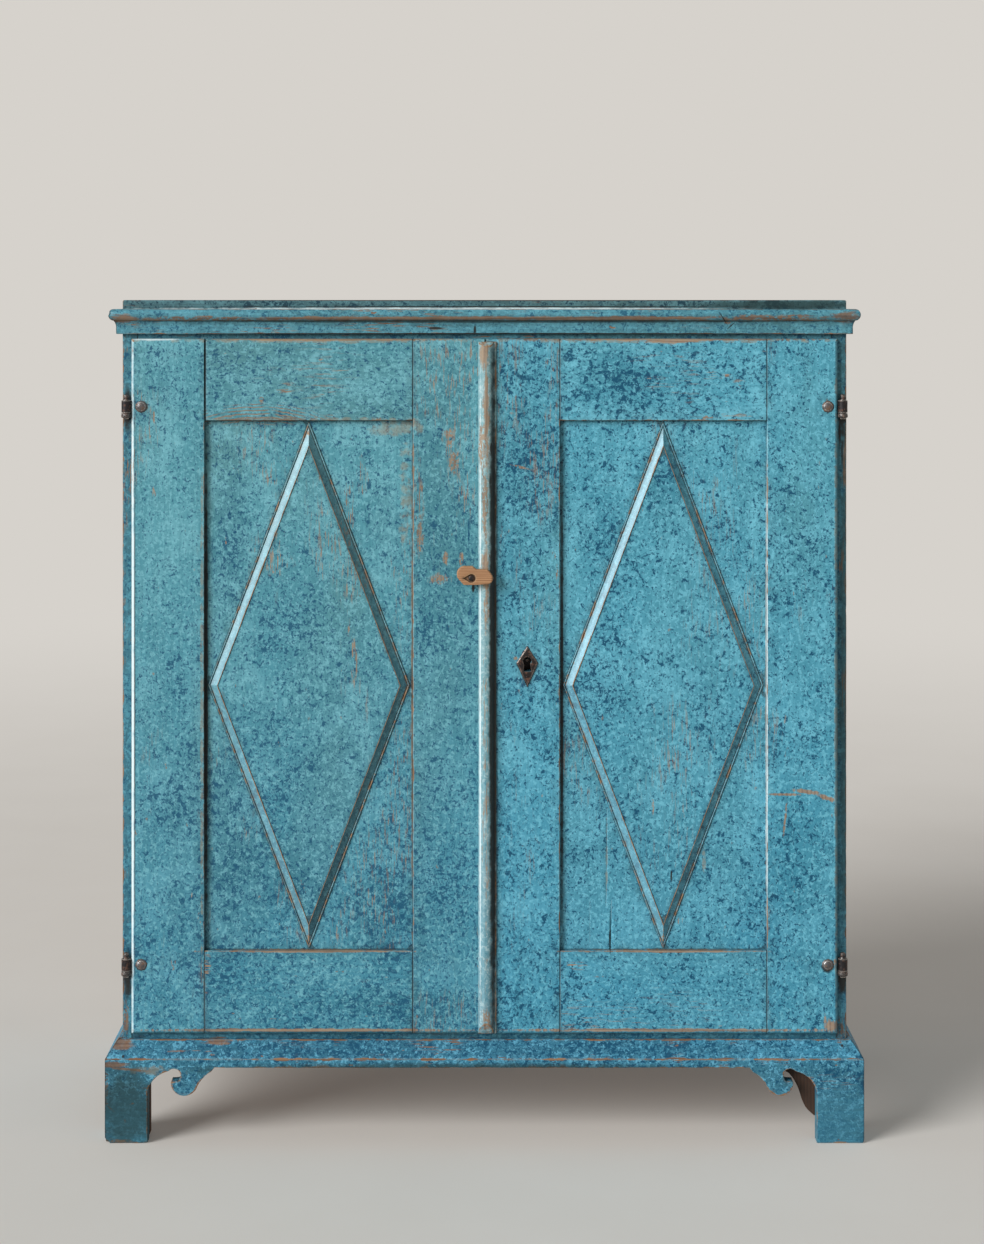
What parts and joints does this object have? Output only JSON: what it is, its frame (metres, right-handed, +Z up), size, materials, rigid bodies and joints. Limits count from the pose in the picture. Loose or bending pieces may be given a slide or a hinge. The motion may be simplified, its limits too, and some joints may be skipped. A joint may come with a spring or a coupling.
{
  "type": "storage cabinet",
  "caption": "Free-standing country cupboard with framed doors that carry raised lozenges, inner shelves, a moulded cornice and scrolled bracket feet.",
  "frame": {"origin": "centre of the overall box at floor level", "axes": "+Z up, the doors face -Y, +X to the right as seen from the front"},
  "size_m": [1.098, 0.4894, 1.219],
  "materials": {
    "case_paint": "old matt blue paint with darker sponged spots, worn to the wood on the edges",
    "left_door_paint": "old matt blue-green paint with darker sponged spots",
    "right_door_paint": "old matt blue paint with darker sponged spots",
    "bare_pine": "unpainted pine darkened with age",
    "button_wood": "bare pine polished by hands",
    "wrought_iron": "blackened wrought iron with brown rust"
  },
  "bodies": {
    "case": {"left_side_board": "case_paint", "right_side_board": "case_paint", "top_board": "case_paint", "bottom_board": "case_paint", "back_plank_left": "bare_pine", "back_plank_middle": "bare_pine", "back_plank_right": "bare_pine", "top_front_rail": "case_paint", "bottom_front_rail": "bare_pine", "cornice_front": "case_paint", "cornice_left_return": "case_paint", "cornice_right_return": "case_paint", "upper_shelf": "bare_pine", "lower_shelf": "bare_pine", "upper_left_cleat": "bare_pine", "upper_right_cleat": "bare_pine", "lower_left_cleat": "bare_pine", "lower_right_cleat": "bare_pine", "base_front": "case_paint", "base_left_return": "case_paint", "base_right_return": "case_paint", "front_left_foot_block": "bare_pine", "front_right_foot_block": "bare_pine", "rear_left_foot_block": "bare_pine", "rear_right_foot_block": "bare_pine", "left_upper_pintle": "wrought_iron", "left_lower_pintle": "wrought_iron", "right_upper_pintle": "wrought_iron", "right_lower_pintle": "wrought_iron"},
    "left_door": {"left_door_hinge_stile": "left_door_paint", "left_door_meeting_stile": "left_door_paint", "left_door_top_rail": "left_door_paint", "left_door_bottom_rail": "left_door_paint", "left_door_panel": "left_door_paint", "left_door_lozenge": "left_door_paint", "left_door_rivets": "wrought_iron", "left_upper_hinge_eye": "wrought_iron", "left_lower_hinge_eye": "wrought_iron", "turn_button_spacer": "button_wood", "turn_button_screw": "wrought_iron", "door_bolt_pad": "bare_pine", "door_bolt_staples": "wrought_iron"},
    "right_door": {"right_door_hinge_stile": "right_door_paint", "right_door_meeting_stile": "right_door_paint", "right_door_top_rail": "right_door_paint", "right_door_bottom_rail": "right_door_paint", "right_door_panel": "right_door_paint", "right_door_lozenge": "right_door_paint", "right_door_rivets": "wrought_iron", "right_upper_hinge_eye": "wrought_iron", "right_lower_hinge_eye": "wrought_iron", "meeting_strip": "right_door_paint", "escutcheon": "wrought_iron", "lock_case": "wrought_iron", "lock_drill_pin": "wrought_iron"},
    "turn_button": {"turn_button": "button_wood"},
    "lock_bolt": {"lock_bolt": "wrought_iron"},
    "door_bolt": {"door_bolt_bar": "wrought_iron"}
  },
  "joints": [
    {"name": "left_door_hinge", "type": "hinge", "parent": "case", "child": "left_door", "pos_m": [-0.5198, -0.21885, 0.65], "axis": [0, 0, -1], "range_deg": [0, 180]},
    {"name": "right_door_hinge", "type": "hinge", "parent": "case", "child": "right_door", "pos_m": [0.5198, -0.21885, 0.65], "axis": [0, 0, 1], "range_deg": [0, 180]},
    {"name": "turn_button_pivot", "type": "hinge", "parent": "left_door", "child": "turn_button", "pos_m": [-0.0189, -0.23835, 0.8179], "axis": [0, -1, 0], "continuous": true},
    {"name": "lock_bolt_slide", "type": "slide", "parent": "right_door", "child": "lock_bolt", "axis": [-1, 0, 0], "range_m": [0, 0.013]},
    {"name": "door_bolt_slide", "type": "slide", "parent": "left_door", "child": "door_bolt", "axis": [0, 0, 1], "range_m": [0, 0.016]}
  ]
}
